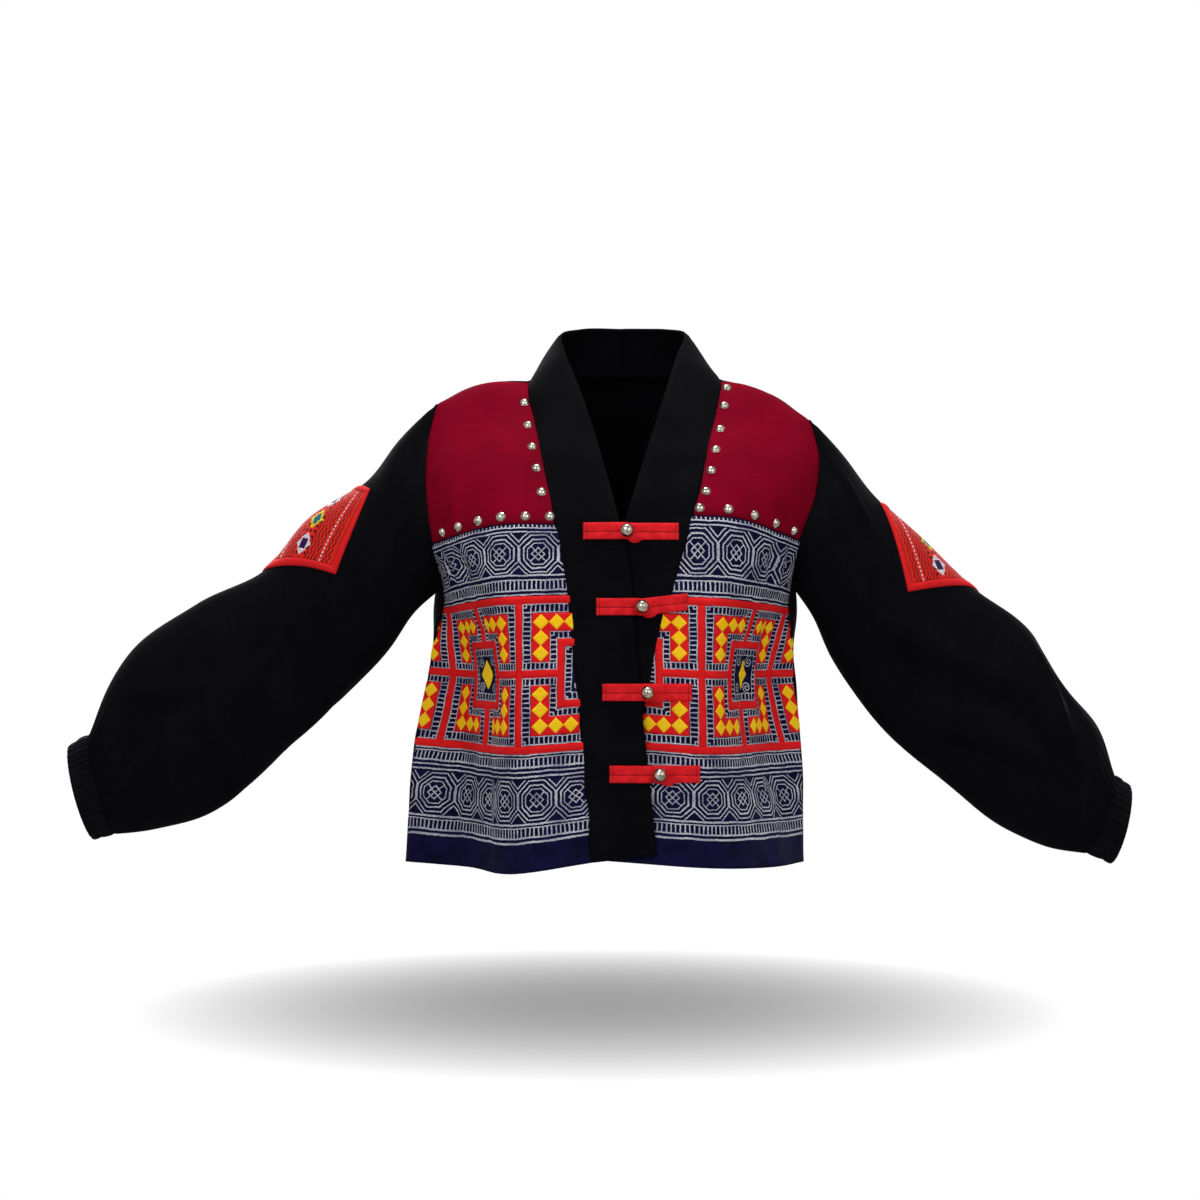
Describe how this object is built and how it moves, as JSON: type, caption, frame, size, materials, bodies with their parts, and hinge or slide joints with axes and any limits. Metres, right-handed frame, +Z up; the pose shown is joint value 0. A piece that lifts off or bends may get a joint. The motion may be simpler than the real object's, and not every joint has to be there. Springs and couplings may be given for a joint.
{
  "type": "hmong embroidered jacket",
  "caption": "Waist-length worn jacket: crossed band front, frog closures with ball buttons, studded yokes, batik and applique fronts, full sleeves gathered at the cuffs.",
  "frame": {"origin": "on the neck's centre line at the height where the shoulder seams meet the neck band", "axes": "+Z up, -Y the front of the jacket, +X the wearer's left"},
  "size_m": [1.11, 0.2567, 0.571],
  "materials": {
    "black_cotton": "plain black woven cotton, matt",
    "crimson_cotton": "plain crimson woven cotton, matt",
    "indigo_batik": "indigo cotton with wax-resist lines, red applique and yellow diamonds",
    "gathered_cotton": "gathered black cotton, elasticated",
    "embroidery": "orange-red counted embroidery, raised",
    "red_cotton": "bright red woven cotton",
    "silver_alloy": "polished silver-coloured metal"
  },
  "bodies": {
    "root": {"back": "black_cotton", "yoke_right": "crimson_cotton", "front_right": "indigo_batik", "band_right": "black_cotton", "sleeve_right": "black_cotton", "cuff_right": "gathered_cotton", "square_right": "embroidery", "square_binding_right": "red_cotton", "yoke_left": "crimson_cotton", "front_left": "indigo_batik", "band_left": "black_cotton", "sleeve_left": "black_cotton", "cuff_left": "gathered_cotton", "square_left": "embroidery", "square_binding_left": "red_cotton", "frog_strap_1": "red_cotton", "frog_loop_1": "red_cotton", "button_1": "silver_alloy", "frog_strap_2": "red_cotton", "frog_loop_2": "red_cotton", "button_2": "silver_alloy", "frog_strap_3": "red_cotton", "frog_loop_3": "red_cotton", "button_3": "silver_alloy", "frog_strap_4": "red_cotton", "frog_loop_4": "red_cotton", "button_4": "silver_alloy", "stud_right_01": "silver_alloy", "stud_right_02": "silver_alloy", "stud_right_03": "silver_alloy", "stud_right_04": "silver_alloy", "stud_right_05": "silver_alloy", "stud_right_06": "silver_alloy", "stud_right_07": "silver_alloy", "stud_right_08": "silver_alloy", "stud_right_09": "silver_alloy", "stud_right_10": "silver_alloy", "stud_right_11": "silver_alloy", "stud_left_01": "silver_alloy", "stud_left_02": "silver_alloy", "stud_left_03": "silver_alloy", "stud_left_04": "silver_alloy", "stud_left_05": "silver_alloy", "stud_left_06": "silver_alloy", "stud_left_07": "silver_alloy", "stud_left_08": "silver_alloy", "stud_left_09": "silver_alloy", "stud_left_10": "silver_alloy", "stud_left_11": "silver_alloy"}
  },
  "joints": []
}
